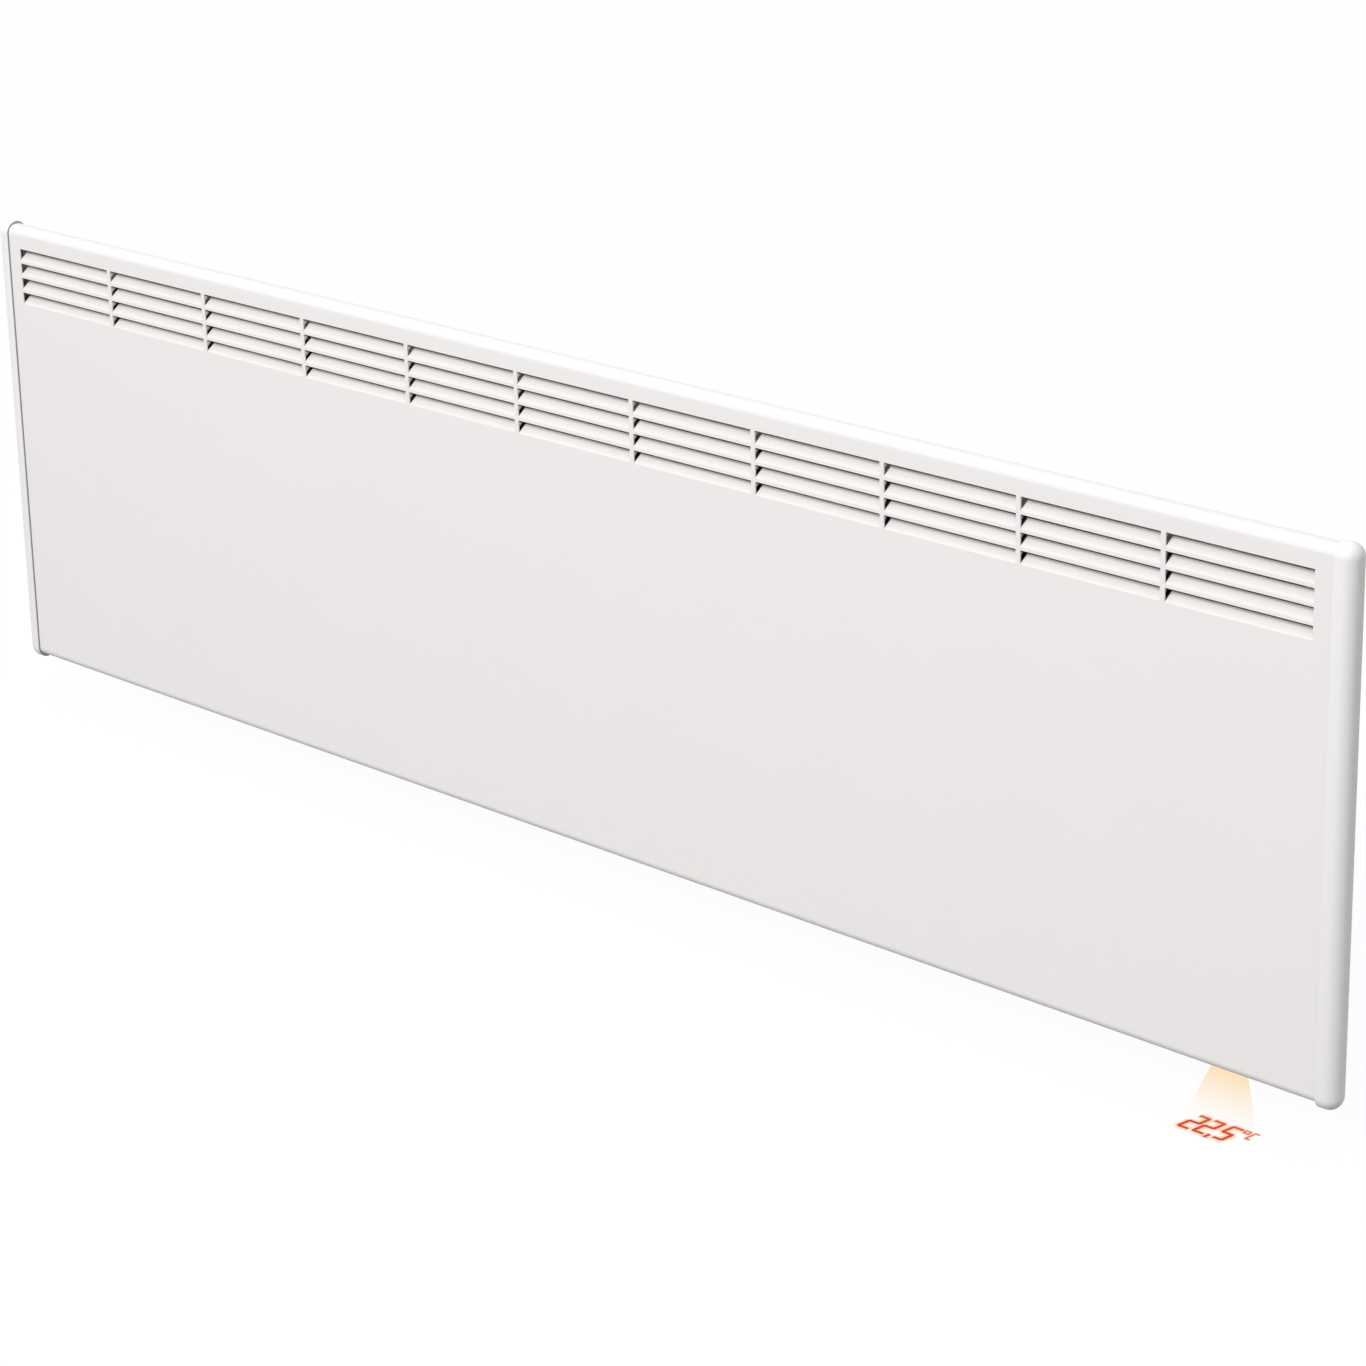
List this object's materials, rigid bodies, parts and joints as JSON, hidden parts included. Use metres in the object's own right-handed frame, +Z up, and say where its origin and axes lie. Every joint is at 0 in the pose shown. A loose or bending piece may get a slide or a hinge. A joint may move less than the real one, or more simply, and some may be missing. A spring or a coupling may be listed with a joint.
{
  "type": "wall panel convector heater",
  "caption": "Long white wall panel convector heater: louvred folded front, rounded end caps, finned element in a rear casing, underside controls, tilting on a wall bracket.",
  "frame": {"origin": "centre of the wall bracket's four-screw pattern, on the wall plane", "axes": "+X along the heater to the right as seen from the room, +Y into the wall, +Z up; the louvred panel faces -Y"},
  "size_m": [1.3314, 0.087, 0.3722],
  "materials": {
    "powder_coat": "satin white powder coat",
    "cap_plastic": "satin white moulding",
    "zinc_sheet": "galvanised sheet",
    "bracket_zinc": "zinc plated",
    "spring_steel": "blued spring strip",
    "fastener_steel": "zinc plated",
    "rivet_aluminium": "plain",
    "element_aluminium": "extruded",
    "reflector_aluminium": "bright rolled",
    "sheath_steel": "annealed",
    "bush_ceramic": "unglazed steatite",
    "cutout_phenolic": "moulded phenolic",
    "housing_plastic": "moulded",
    "bezel_plastic": "moulded",
    "switch_black": "moulded",
    "button_plastic": "moulded",
    "board_laminate": "solder masked",
    "module_black": "potted",
    "relay_blue": "moulded",
    "sink_aluminium": "black anodised",
    "terminal_nylon": "natural nylon",
    "led_amber": "emissive when on",
    "barrel_black": "matt inside",
    "mask_glass": "tinted",
    "lens_glass": "clear",
    "gland_nylon": "moulded nylon",
    "lead_red": "silicone insulation",
    "lead_blue": "silicone insulation",
    "lead_brown": "silicone insulation",
    "lead_green": "silicone insulation",
    "stud_brass": "plain"
  },
  "bodies": {
    "heater": {"front_panel": "powder_coat", "left_end_cap": "cap_plastic", "right_end_cap": "cap_plastic", "end_cap_screws": "fastener_steel", "rear_casing": "zinc_sheet", "casing_screws": "fastener_steel", "element_fins": "element_aluminium", "element_sheath": "sheath_steel", "element_bushes": "bush_ceramic", "element_hangers": "zinc_sheet", "hanger_rivets": "rivet_aluminium", "front_baffle": "reflector_aluminium", "baffle_rivets": "rivet_aluminium", "rear_heat_shield": "reflector_aluminium", "thermal_cutout": "cutout_phenolic", "control_housing": "housing_plastic", "housing_cover": "housing_plastic", "control_bezel": "bezel_plastic", "bezel_screws": "fastener_steel", "control_board": "board_laminate", "board_screws": "fastener_steel", "tact_switches": "module_black", "supply_module": "module_black", "power_relay": "relay_blue", "heat_sink": "sink_aluminium", "triac": "module_black", "terminal_block": "terminal_nylon", "readout_led": "led_amber", "readout_barrel": "barrel_black", "readout_mask": "mask_glass", "readout_lens": "lens_glass", "room_sensor": "bezel_plastic", "cable_gland": "gland_nylon", "gland_nut": "gland_nylon", "rocker_frame": "switch_black", "cutout_lead": "lead_brown", "right_element_lead": "lead_red", "left_element_lead": "lead_blue", "earth_lead": "lead_green", "lead_clips": "gland_nylon", "earth_stud": "stud_brass", "earth_fixings": "stud_brass", "hinge_ears": "bracket_zinc", "catch_blades": "bracket_zinc", "rear_rivets": "rivet_aluminium"},
    "rocker": {"rocker_paddle": "switch_black"},
    "minus_key": {"minus_button": "button_plastic"},
    "plus_key": {"plus_button": "button_plastic"},
    "mode_key": {"mode_button": "button_plastic"},
    "wall_bracket": {"bracket_rails": "bracket_zinc", "bracket_crossbars": "bracket_zinc", "crossbar_rivets": "rivet_aluminium", "hinge_pins": "fastener_steel", "spring_clips": "spring_steel", "clip_rivets": "rivet_aluminium"}
  },
  "joints": [
    {"name": "heater_tilt", "type": "hinge", "parent": "wall_bracket", "child": "heater", "pos_m": [0, -0.012, -0.125], "axis": [1, 0, 0], "range_deg": [0, 25]},
    {"name": "main_switch", "type": "hinge", "parent": "heater", "child": "rocker", "pos_m": [0.512, -0.04725, -0.1563], "axis": [0, 1, 0], "range_deg": [0, 16]},
    {"name": "minus_press", "type": "slide", "parent": "heater", "child": "minus_key", "axis": [0, 0, 1], "range_m": [0, 0.001], "stiffness_N_per_m": 400, "springref_m": -0.0005},
    {"name": "plus_press", "type": "slide", "parent": "heater", "child": "plus_key", "axis": [0, 0, 1], "range_m": [0, 0.001], "stiffness_N_per_m": 400, "springref_m": -0.0005},
    {"name": "mode_press", "type": "slide", "parent": "heater", "child": "mode_key", "axis": [0, 0, 1], "range_m": [0, 0.001], "stiffness_N_per_m": 400, "springref_m": -0.0005}
  ]
}
